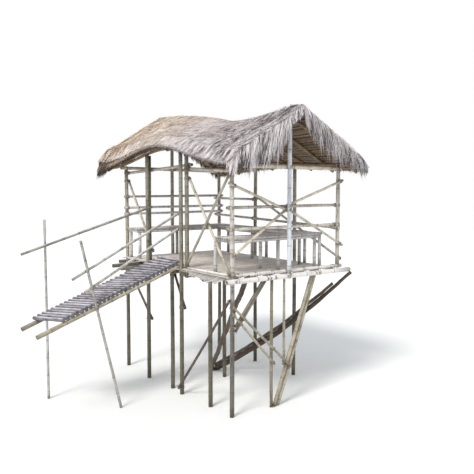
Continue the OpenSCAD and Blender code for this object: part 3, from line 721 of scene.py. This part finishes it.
def floor_strips():
    batch, ends = Batch(), Batch()
    for points in islands(NODES["floor_slats"]):
        lo, hi = points.min(0), points.max(0)
        tip = points[points[:, 0] < lo[0] + SLAT_NEAR, 2].max()
        on_top = (points[:, 2] > hi[2] - SLAT_NEAR) & (points[:, 0] < hi[0] - SLAT_NEAR)
        bend = points[on_top, 0].min()
        count = max(1, int(round((hi[1] - lo[1]) / (STRIP_W + STRIP_GAP))))
        width = (hi[1] - lo[1]) / count - STRIP_GAP
        for k in range(count):
            y = lo[1] + k * (width + STRIP_GAP)
            if k % 2 == 0:
                cut = rng.uniform(0.0, 0.11)
            x0 = min(lo[0] + cut + rng.uniform(0.0, 0.02), bend - 0.01)
            x1 = hi[0] - rng.uniform(0.0, 0.02)
            fall = (hi[2] - tip) / max(bend - lo[0], 0.01) * rng.uniform(0.8, 1.05)
            strip(batch, bend, x1, y, y + width, hi[2], bend, 0.0)
            strip(ends, x0, bend, y, y + width, hi[2], bend, fall)
    batch.make("split_floor", FLOOR, "split_bamboo_floor", ["floor_slats"])
    ends.make("split_floor_ends", RAGGED, "split_bamboo_floor")


def strip(batch, x0, x1, y0, y1, top, bend, fall):
    """Split culm wall: crowned a little, with dark lines at its nodes, and bent down past the outer joist."""
    spacing = rng.uniform(*STRIP_SPACING)
    first, node, last = STRIP_MARKS
    at, mark = [x0], [first]
    x = x0 + spacing * rng.uniform(0.2, 1.0)
    while x < x1 - 0.02:
        at += [x - STRIP_LINE, x, x + STRIP_LINE]
        mark += [0.0, node, 0.0]
        x += spacing * rng.uniform(0.9, 1.1)
    at, mark = np.array(at + [x1]), np.array(mark + [last])
    n = len(at)
    mid, drop = (y0 + y1) / 2, rng.uniform(0.0, 0.004)
    ys = np.array([y0, y0, mid, y1, y1])
    zs = np.array([top - SLAT_T, top - STRIP_CROWN, top, top - STRIP_CROWN, top - SLAT_T]) - drop
    verts = np.zeros((n, STRIP_SIDES, 3))
    verts[:, :, 0] = at[:, None]
    verts[:, :, 1] = ys
    verts[:, :, 2] = zs - (np.maximum(bend - at, 0) * fall)[:, None]
    tint = rng.random()
    grain = np.zeros((n, STRIP_SIDES, 3))
    grain[:, :, 0] = ys - mid
    grain[:, :, 2] = at[:, None] + tint * STRIP_SHIFT
    batch.add(verts, tube(n, STRIP_SIDES), grain, tint, np.repeat(mark, STRIP_SIDES))


# Lashings where two poles lie against each other

CORD_R = 0.0035
CORD_SIDES = 5
CORD_POINTS = 15
LASH_TURNS = 2
# Turns lie this many cord radii apart, give or take the stray, and as a rounded square of this power
TURN_PITCH = 2.1
TURN_STRAY = 0.003
SQUARE = 0.8
# Poles further apart than this don't touch, and axes nearer than this belong to poles in one line
LASH_GAP = 0.004
LASH_NEAR = 0.02
# Share of the joists' crossings that show no lashing, and the pieces that show none
BARE_JOISTS = 0.6
UNLASHED = ("benches", "rafters")


def closest(p, q):
    """Distance between the axes of two poles, and the nearest point of each; None where parallel."""
    a, b = p[0], q[0]
    u, v = p[1] - p[0], q[1] - q[0]
    w = a - b
    uu, uv, vv, uw, vw = u @ u, u @ v, v @ v, u @ w, v @ w
    den = uu * vv - uv * uv
    if den < 1e-9 * uu * vv:
        return None
    s = np.clip((uv * vw - vv * uw) / den, 0, 1)
    t = np.clip((v @ (a + u * s - b)) / vv, 0, 1)
    s = np.clip((u @ (b + v * t - a)) / uu, 0, 1)
    x, y = a + u * s, b + v * t
    return np.linalg.norm(x - y), x, y


def lash(batch, p, q, x, y):
    """Turns of cord round both poles, on one diagonal of their crossing and then on the other."""
    u, v = unit(p[1] - p[0]), unit(q[1] - q[0])
    if u @ v < 0:
        v = -v
    across = unit(y - x)
    tall = np.linalg.norm(x - y) / 2 + (p[2] + q[2]) / 2 + CORD_R
    wide = max(p[2], q[2]) * 1.12 + CORD_R
    middle = (x + y) / 2 + across * (q[2] - p[2]) / 2
    first = unit(u + v)
    second = unit(u - v) if np.linalg.norm(u - v) > 0.2 else first
    angle = np.linspace(0, 2 * math.pi, CORD_POINTS)
    form, rise = (np.sign(wave) * np.abs(wave) ** SQUARE for wave in (np.cos(angle), np.sin(angle)))
    for diagonal in (first, second):
        out = unit(np.cross(diagonal, across))
        for k in range(LASH_TURNS):
            place = (k - (LASH_TURNS - 1) / 2) * CORD_R * TURN_PITCH
            shift = diagonal * (place + rng.uniform(-TURN_STRAY, TURN_STRAY))
            ring = middle + shift + out * (form * wide)[:, None] + across * (rise * tall)[:, None]
            cord_loop(batch, ring, rng.random())


def cord_loop(batch, path, tint):
    """Cord along a closed path whose last point is its first."""
    along = unit(np.gradient(path, axis=0))
    along[0] = along[-1] = unit(path[1] - path[-2])
    seed = unit(np.cross(path[3] - path[0], path[7] - path[0]) + 1e-9)
    side = unit(np.cross(along, seed))
    up = np.cross(side, along)
    angle = np.arange(CORD_SIDES) / CORD_SIDES * 2 * math.pi
    ring = np.cos(angle)[:, None] * side[:, None] + np.sin(angle)[:, None] * up[:, None]
    verts = (path[:, None] + ring * CORD_R)[:-1].reshape(-1, 3)
    batch.add(verts, [ring_quads(len(path), CORD_SIDES) % len(verts)], verts, tint, 0.0)


def lashings():
    poles = [(p, node) for piece, (_, _, nodes) in STRAIGHT.items() if piece not in UNLASHED
             for node in nodes for p in poles_of(node)]
    batch = Batch()
    for i, (p, a) in enumerate(poles):
        for q, b in poles[i + 1:]:
            near = closest(p, q)
            if near is None or near[0] > p[2] + q[2] + LASH_GAP or near[0] < LASH_NEAR:
                continue
            bare = 1.0 if "front_edge_beam" in (a, b) else BARE_JOISTS
            if "floor_joists" in (a, b) and rng.random() < bare:
                continue
            lash(batch, p, q, near[1], near[2])
    batch.make("lashings", CORD, "dark_timber")


# Thatch: the slope of each side is read from its CAD slab

# Points of a slab in one row along X lie this near in Y, and points in one place this near in X
ROW_NEAR = 0.002
PLACE_GAP = 0.02
# About how much the slopes fall
SLOPE_FALL = 0.85


def slope_grid(node):
    """Arrays of x, top z and bottom z by station along Y and place from ridge to eave, and the stations."""
    points = islands(NODES[node])[0]
    ys = np.unique(np.round(points[:, 1], 3))
    grid = []
    for y in ys:
        row = points[np.abs(points[:, 1] - y) < ROW_NEAR]
        row = row[np.argsort(np.abs(row[:, 0]))]
        groups = np.split(row, np.where(np.diff(np.abs(row[:, 0])) > PLACE_GAP)[0] + 1)
        grid.append([(g[:, 0].mean(), g[:, 2].max(), g[:, 2].min()) for g in groups])
    return (*np.moveaxis(np.array(grid), -1, 0), ys)


class Slope:
    """Smooth sampling of one thatch slope: u from ridge to eave, v from front to back."""

    def __init__(self, node):
        self.x, self.top, self.low, self.y = slope_grid(node)
        self.side = np.sign(self.x.mean())
        self.width = np.abs(self.x).max()
        self.depth = self.y[-1] - self.y[0]
        self.fall = np.hypot(self.width, SLOPE_FALL)

    def sample(self, grid, u, v):
        """Values of a grid between its points."""
        rows, cols = grid.shape
        i = np.clip(v, 0, 1) * (rows - 1)
        k = np.clip(u, 0, 1) * (cols - 1)
        i0, k0 = np.minimum(i.astype(int), rows - 2), np.minimum(k.astype(int), cols - 2)
        di, dk = i - i0, k - k0
        front = grid[i0, k0] * (1 - dk) + grid[i0, k0 + 1] * dk
        back = grid[i0 + 1, k0] * (1 - dk) + grid[i0 + 1, k0 + 1] * dk
        return front * (1 - di) + back * di

    def waves(self, u, v, size, seed):
        """Smooth bumps of about -1 to 1 over the slope."""
        a, b = u * self.width, v * self.depth
        local = np.random.default_rng(seed)
        total = 0
        for _ in range(6):
            turn = local.uniform(0, 2 * math.pi)
            pitch = 2 * math.pi / (size * local.uniform(0.6, 1.8))
            total = total + np.sin((a * math.cos(turn) + b * math.sin(turn)) * pitch + local.uniform(0, 6.3))
        return total / 3.0

    def point(self, u, v, depth):
        """Point at a share of the thickness, 0 on top and 1 below; past the eave it follows the slope."""
        top, low = self.sample(self.top, u, v), self.sample(self.low, u, v)
        fall = self.sample(self.top, 1.0, v) - self.sample(self.top, 0.0, v)
        past = np.maximum(u - 1, 0) + np.minimum(u, 0)
        x = self.side * self.width * u
        y = self.y[0] + self.depth * v
        return np.stack([x, y, top + (low - top) * depth + fall * past], -1)


# Widths of the strands, the shares of them at root, neck and tip, and how dark a root is at most, as painted
# shade where the strands lie under others
STRAW_WIDTHS = (0.004, 0.009)
STRAW_SHARES = [0.8, 1.0, 0.25]
STRAW_ROOT_SHADE_MAX = 0.5


def straw(name, path, tint, face, local, widths=STRAW_WIDTHS, dark=STRAW_ROOT_SHADE_MAX):
    """Piece of flat tapered strands: path is strands x points x 3, face the direction they mostly show."""
    n, m, _ = path.shape
    width, mark = local.uniform(*widths, n), local.uniform(0.0, dark, n)
    along = unit(np.gradient(path, axis=1))
    side = unit(np.cross(along, face[:, None]))
    share = np.interp(np.arange(m), [0, m - 2, m - 1], STRAW_SHARES)
    off = side * (width[:, None, None] / 2) * share[:, None]
    verts = np.stack([path - off, path + off], 2)
    k = np.arange(m - 1) * 2
    quad = np.stack([k, k + 1, k + 3, k + 2], -1)
    faces = (np.arange(n)[:, None, None] * m * 2 + quad).reshape(-1, 4)
    grain = np.zeros((n, m * 2, 3))
    grain[:, :, 2] = np.repeat(np.linspace(0, 0.4, m), 2) + tint[:, None] * STRAND_SHIFT
    grain[:, 1::2, 0] = 0.01
    marks = (mark[:, None] * np.repeat(np.linspace(1.0, 0.0, m), 2)).ravel()
    batch = Batch()
    batch.add(verts, [faces], grain, np.repeat(tint, m * 2), marks)
    batch.make(name, THATCH, "thatch")


CORNER_BULK = 0.10
RIDGE_BULK = 0.045


def bulk(u, v):
    """How much fuller the straw lies at the back corners of the eaves and near the front end of the ridge."""
    ridge = np.exp(-(u / 0.14) ** 2 - ((v - 0.07) / 0.06) ** 2)
    return CORNER_BULK * corner_share(u, v) + RIDGE_BULK * ridge


def corner_share(u, v):
    """1 at the back corner of the eave, 0 away from it."""
    return grade(u, 0.70, 0.30) * grade(v, 0.74, 0.26)


# Points of the thatch's body across and along the roof, and its tints on top and below: darker than the
# strands on top and nearly black below, as painted shade
BODY_POINTS = (26, 90)
BODY_TINT = 0.48
BODY_UNDER_SHADE_TINT = 0.05


def shell(slope, name, node, seed):
    """Body of the thatch: the slab of the CAD with soft lumps, under the strands, dark as painted shade where
    it shows between them and underneath.
    """
    nu, nv = BODY_POINTS
    v, u = np.meshgrid(np.linspace(0, 1, nv), np.linspace(0, 1, nu), indexing="ij")
    u, v = u.ravel(), v.ravel()
    lumps = slope.waves(u, v, 0.5, seed) * 0.5 + slope.waves(u, v, 0.16, seed + 1) * 0.3
    top = slope.point(u, v, 0.10 + 0.05 * lumps)
    top[:, 2] += bulk(u, v)
    low = slope.point(u, v, 0.98)
    grid = np.arange(nu * nv).reshape(nv, nu)
    quads = np.stack([grid[:-1, :-1], grid[1:, :-1], grid[1:, 1:], grid[:-1, 1:]], -1).reshape(-1, 4)
    edge = np.concatenate([grid[0, :], grid[1:, -1], grid[-1, -2::-1], grid[-2:0:-1, 0]])
    after = np.roll(edge, -1)
    n = len(u)
    wall = np.stack([edge, after, after + n, edge + n], -1)
    if slope.side < 0:
        quads, wall = quads[:, ::-1], wall[:, ::-1]
    faces = [quads[:, ::-1], quads + n, wall]
    verts = np.concatenate([top, low])
    # Painted shade: the body darker at the back corners of the eaves
    tint = BODY_TINT + 0.08 * lumps - 0.42 * corner_share(u, v)
    batch = Batch()
    # Dark root mark on the whole body, and a nearly black underside: painted shade
    batch.add(verts, faces, verts, np.r_[tint, np.full(n, BODY_UNDER_SHADE_TINT)], 0.3)
    batch.make(name, THATCH, "thatch", [node])


# Size of a tuft of straw, down the slope and along the roof
TUFT_ROW = 0.07
TUFT_COL = 0.032
# A strand on the slope: its points, how deep its root lies, length, darkest root as painted shade, and bend
# past the eave
STRAND_POINTS = 3
STRAND_ROOT = 0.02
STRAND_LENGTHS = (0.08, 0.24)
STRAND_ROOT_SHADE_MAX = 0.25
STRAND_SAG = 0.4
# How far a strand may lie past the gable
STRAND_OVER = 0.03
# Strands on a slope, at its eave, and at its front and back edge
TOP_STRANDS = 44000
EAVE_STRANDS = 6000
FRONT_STRANDS = 8500
BACK_STRANDS = 6000


def strand_paths(slope, u0, v0, length, lift, drift):
    """Paths down the slope: lift is the height over the top at the tip, drift the sideways lean."""
    run = np.linspace(0, 1, STRAND_POINTS)
    u = u0[:, None] + length[:, None] * run / slope.fall
    v = v0[:, None] + drift[:, None] * length[:, None] * run / slope.depth
    path = slope.point(u, v, 0)
    past = np.maximum(u - 1.0, 0) * slope.width
    over = lift[:, None] * run - STRAND_ROOT * (1 - run)
    path[:, :, 2] += over - past * STRAND_SAG - 2.0 * past * past * STRAND_SAG
    path[:, :, 2] += bulk(np.minimum(u, 1), v)
    return path


def slope_normals(slope, u, v):
    """Upward normals of the slope's top."""
    step = 0.02
    a = slope.point(u + step, v, 0) - slope.point(u - step, v, 0)
    b = slope.point(u, v + step, 0) - slope.point(u, v - step, 0)
    n = unit(np.cross(a, b))
    return n * np.sign(n[:, 2:3])


def tufts_of(rows, cols, local):
    """Place, tint, lean and lift of each tuft: paler in the middle, of more contrast to the front."""
    tufts = rows * cols
    u = (np.arange(tufts) // cols + local.uniform(-0.5, 0.5, tufts)) / rows
    v = (np.arange(tufts) % cols + local.random(tufts)) / cols
    front = grade(0.42 - v, 0, 0.3)
    middle = np.exp(-((v - 0.5) / 0.2) ** 2)
    tint = local.normal(0, 0.15, tufts) * (1 + 0.5 * front)
    # Painted shade: tufts darker towards the back corner of the eave, after a small darkening of all
    tint -= 0.06 + 0.22 * grade(v, 0.72, 0.28) * grade(u, 0.35, 0.5)
    dark = local.random(tufts) < 0.15 - 0.11 * middle + 0.18 * front
    tint -= np.where(dark, 0.42 + 0.16 * front, 0.0)
    tint += 0.10 * middle
    lean = local.normal(0, 0.20, tufts) * (1 + 0.8 * (1 - front))
    lift = local.uniform(0.0, 0.016, tufts)
    return u, v, tint, lean, lift


def thatch_top(slope, name, count, seed):
    """Strands in tufts down the slope, each tuft with its own shade, lean and lift."""
    local = np.random.default_rng(seed)
    rows, cols = int(slope.fall / TUFT_ROW), int(slope.depth / TUFT_COL)
    tuft_u, tuft_v, tuft_tint, tuft_lean, tuft_lift = tufts_of(rows, cols, local)
    own = local.integers(0, rows * cols, count)
    u = np.clip(tuft_u[own] + local.normal(0, 0.018, count), -0.02, 0.985)
    v = np.clip(tuft_v[own] + local.normal(0, 0.45 * TUFT_COL, count) / slope.depth, 0.0, 1.0)
    length = local.uniform(*STRAND_LENGTHS, count)
    length = np.minimum(length, (1.0 - u) * slope.fall + local.uniform(0.005, 0.035, count))
    drift = tuft_lean[own] + local.normal(0, 0.10, count) + 0.25 * slope.waves(u, v, 1.1, seed)
    drift += (tuft_v[own] - v) * slope.depth / length * 0.5
    edge = np.minimum(v, 1 - v) * slope.depth + STRAND_OVER
    drift = np.clip(drift * length, -edge, edge) / length
    lift = tuft_lift[own] + local.uniform(0.0, 0.012, count) + np.maximum(local.normal(-0.04, 0.03, count), 0)
    path = strand_paths(slope, u, v, length, lift, drift)
    patch = slope.waves(u, v, 0.7, seed + 5)
    tint = np.clip(0.89 + 0.05 * patch + tuft_tint[own] + local.normal(0, 0.10, count), 0.05, 1)
    face = slope_normals(slope, np.clip(u, 0, 1), v)
    face[:, 1] += 1.5 * tuft_lean[own]
    straw(name, path, tint, unit(face), local, dark=STRAND_ROOT_SHADE_MAX)


def hanging(slope, u, v, depth, length, out, droop, points=5, pull=0.0):
    """Strands that leave the slab's edge by out: droop turns them down, pull gathers their tips."""
    root = slope.point(u, v, depth)
    run = np.linspace(0, 1, points)
    way = out[:, None] * (run - 0.35 * run ** 2 * droop[:, None])[:, :, None]
    down = np.array([0, 0, -1.0]) * (run ** 1.6 * droop[:, None])[:, :, None]
    gather = np.broadcast_to(pull, root.shape)[:, None] * run[:, None] ** 1.5
    return root[:, None] + (way + down) * length[:, None, None] + gather


# How far the straw hangs at the gable edges, from the ridge to the eave
VERGE_U = [0.0, 0.17, 0.25, 0.5, 0.85, 1.0]
FRONT_VERGE = {-1.0: [0.10, 0.15, 0.62, 0.54, 0.34, 0.16], 1.0: [0.42, 0.54, 0.52, 0.46, 0.32, 0.12]}
BACK_VERGE = [0.10, 0.18, 0.20, 0.22, 0.22, 0.20]
# The most that it reaches out from the gable, its widths, and its clumps on an edge and wisps in a clump
VERGE_OUT = 0.13
VERGE_WIDTHS = (0.004, 0.010)
CLUMPS = 44
WISPS = 3
# The outermost straw of a gable edge lies within this share of the roof's length
VERGE_FACE = 0.003
# The long straw at a back corner of the eaves, darkened there as painted shade: how much there is, where it
# starts along the roof, its length, and the share of the strands that are packed there
CORNER_STRAW = {-1.0: 1.0, 1.0: 0.35}
CORNER_FROM = 0.87
CORNER_LENGTH = 0.09
CORNER_PACKED = 0.22


def eave_fringe(slope, name, count, seed):
    """Trimmed straw ends: pale on top, short and darker down the face as painted shade under the lip, longer,
    denser and darker at the back corner, also as painted shade.
    """
    local = np.random.default_rng(seed)
    packed = local.random(count) < CORNER_PACKED
    v = np.where(packed, local.uniform(CORNER_FROM, 1.0, count), local.random(count))
    depth = local.random(count)
    u = 1.0 - local.uniform(0.0, 0.03, count)
    out = unit(slope.point(np.ones(count), v, depth) - slope.point(np.full(count, 0.9), v, depth))
    out[:, 1] += local.normal(0, 0.15, count)
    corner = grade(v, CORNER_FROM, 0.07) * CORNER_STRAW[slope.side]
    length = local.uniform(0.015, 0.05, count) + np.maximum(local.normal(-0.02, 0.025, count), 0)
    length += CORNER_LENGTH * corner * local.uniform(0.3, 1.0, count)
    path = hanging(slope, u, v, depth, length, out, local.uniform(0.2, 0.9, count) + 0.5 * corner, points=3)
    # Painted shade: darker down the eave's face under the lip, and at the back corner
    tint = np.clip(0.64 - 0.82 * depth - (0.56 + 0.3 * depth) * corner + local.normal(0, 0.10, count), 0, 1)
    face = np.tile([slope.side, 0.0, 0.4], (count, 1))
    straw(name, path, tint, face, local)


def verge_fringe(slope, name, count, seed, at_back=False):
    """Straw on the gable edge in clumps, combed down the slope and hanging from the slab's face."""
    local = np.random.default_rng(seed)
    u = local.random(count)
    depth = np.maximum(local.uniform(-0.6, 1.0, count), 0.0)
    inset = np.where(depth > 0, local.uniform(0.0, VERGE_FACE, count), local.uniform(0.0, 0.030, count))
    v = 1.0 - inset if at_back else inset
    outward = 1.0 if at_back else -1.0
    clump = np.minimum((u * CLUMPS).astype(int), CLUMPS - 1)
    wisps = CLUMPS * WISPS
    wisp = clump * WISPS + local.integers(0, WISPS, count)
    centre = (clump + local.uniform(0.1, 0.9, wisps)[wisp]) / CLUMPS
    down = unit(slope.point(np.minimum(u + 0.05, 1.0), v, depth) - slope.point(np.minimum(u, 0.95), v, depth))
    out = down * local.uniform(0.3, 0.7, count)[:, None]
    out[:, 1] += outward * (local.uniform(0.0, 0.22, count) + 0.5 * (inset > VERGE_FACE))
    out[:, 2] += 0.10 * (inset > VERGE_FACE)
    reach = np.interp(u, VERGE_U, BACK_VERGE if at_back else FRONT_VERGE[slope.side])
    length = reach * local.uniform(0.70, 1.15, CLUMPS)[clump] * local.uniform(0.6, 1.1, wisps)[wisp]
    length *= local.uniform(0.5, 1.0, count)
    pull = slope.point(centre, v, depth) - slope.point(u, v, depth)
    path = hanging(slope, u, v, depth, length, out, local.uniform(0.5, 1.0, count), pull=pull * 0.9)
    reach_out = path[:, :, 1] - path[:, :1, 1]
    path[:, :, 1] = path[:, :1, 1] + VERGE_OUT * np.tanh(reach_out / VERGE_OUT)
    tint = 0.68 - 0.25 * depth + local.uniform(-0.18, 0.14, CLUMPS)[clump] + local.normal(0, 0.12, count)
    tint += local.uniform(-0.66, 0.36, wisps)[wisp]
    # Painted shade: back edge straw darker towards the eave's back corner
    tint -= 0.35 * at_back * grade(u, 0.6, 0.3)
    tint = np.clip(tint, 0.03, 1)
    face = np.tile([0.2 * slope.side, outward, 0.2], (count, 1))
    straw(name, path, tint, face, local, VERGE_WIDTHS)


# Split strips under the thatch: places from ridge to eave, points along the roof, widths and thickness
UNDER_PLACES = np.arange(0.05, 0.97, 0.045)
UNDER_POINTS = 26
UNDER_WIDTHS = (0.022, 0.034)
UNDER_THICK = 0.005
UNDER_DROP = 0.004


def under_battens(slope, name, seed):
    """Split strips on the underside, along the roof between the CAD battens."""
    local = np.random.default_rng(seed)
    batch = Batch()
    n = UNDER_POINTS
    v = np.linspace(0.015, 0.985, n)
    tilt = np.array([slope.side, 0.0, -0.75])
    lift = np.array([0, 0, UNDER_THICK])
    quads = ring_quads(n, 4)
    if slope.side < 0:
        quads = quads[:, ::-1]
    for u in UNDER_PLACES:
        low = slope.point(np.full(n, u + local.uniform(-0.008, 0.008)), v, 1.0)
        low[:, 2] -= UNDER_DROP
        across = tilt / np.linalg.norm(tilt) * local.uniform(*UNDER_WIDTHS) / 2
        corners = (-across - lift, across - lift, across + lift, lift - across)
        ring = np.stack([low + corner for corner in corners], 1)
        tint = local.random()
        grain = np.zeros((n, 4, 3))
        grain[:, :, 2] = (v * slope.depth)[:, None] + tint * BATTEN_SHIFT
        batch.add(ring, [quads], grain, tint, 0.0)
    batch.make(name, ROOF, "roof_bamboo")


def battens():
    """The battens keep their CAD shape and get the roof's bamboo."""
    for node in ("battens_left", "battens_right"):
        materials = NODES[node].data.materials
        materials.clear()
        materials.append(ROOF)


structure()
knee_braces()
bent_poles()
logs()
ramp_deck()
floor_strips()
battens()
lashings()
for side, seed in (("left", 11), ("right", 31)):
    slope = Slope("thatch_" + side)
    shell(slope, "thatch_body_" + side, "thatch_" + side, seed)
    thatch_top(slope, "thatch_straw_" + side, TOP_STRANDS, seed + 1)
    eave_fringe(slope, "eave_straw_" + side, EAVE_STRANDS, seed + 2)
    verge_fringe(slope, "front_straw_" + side, FRONT_STRANDS, seed + 3)
    verge_fringe(slope, "back_straw_" + side, BACK_STRANDS, seed + 4, at_back=True)
    under_battens(slope, "under_strips_" + side, seed + 5)

camera()
sun()
background()
floor()
bpy.context.scene.view_settings.view_transform = "Standard"
